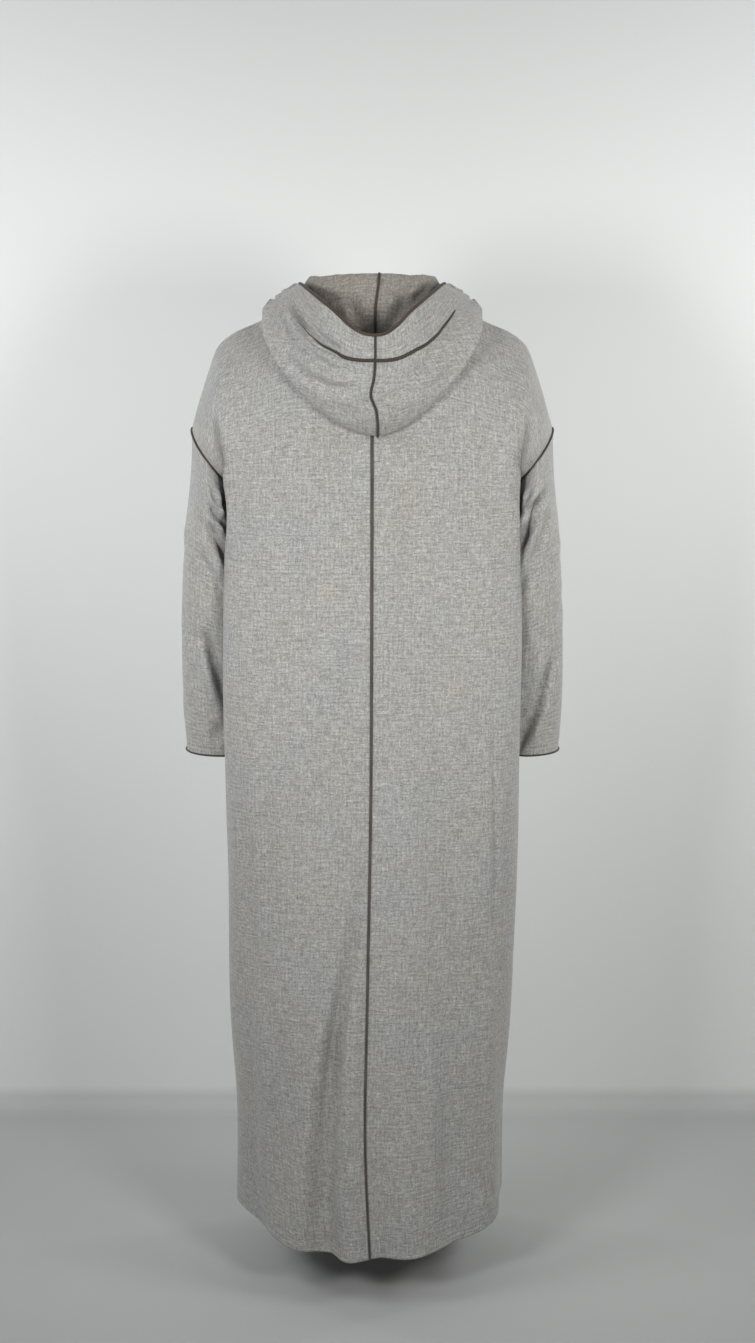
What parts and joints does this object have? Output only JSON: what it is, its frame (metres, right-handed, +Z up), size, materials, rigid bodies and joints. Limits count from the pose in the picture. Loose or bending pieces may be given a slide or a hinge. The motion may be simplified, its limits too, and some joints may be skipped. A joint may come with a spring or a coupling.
{
  "type": "hooded kaftan robe",
  "caption": "Ankle-length hooded kaftan robe in its worn form, long straight sleeves, hood hanging down the back, dark cord on seams and edges.",
  "frame": {"origin": "between the shoulders, at the level of the neck seam, where the wearer's shoulders hold the robe up", "axes": "+Z up, +Y towards the back of the robe, +X towards the wearer's left"},
  "size_m": [0.5646, 0.3523, 1.4256],
  "materials": {
    "cloth": "matt slub weave, grey-beige",
    "cord": "matt twisted cord, dark brown-grey"
  },
  "bodies": {
    "root": {"back_left": "cloth", "back_right": "cloth", "front_left": "cloth", "front_right": "cloth", "sleeve_left": "cloth", "sleeve_right": "cloth", "hood_left": "cloth", "hood_right": "cloth", "hood_band": "cloth", "back_seam_cord": "cord", "armhole_cord_left": "cord", "armhole_cord_right": "cord", "cuff_cord_left": "cord", "cuff_cord_right": "cord", "band_edge_cord": "cord", "hood_rim_cord": "cord", "hood_seam_cord_outside": "cord", "hood_seam_cord_inside": "cord", "hood_seam_cord_band": "cord"}
  },
  "joints": []
}
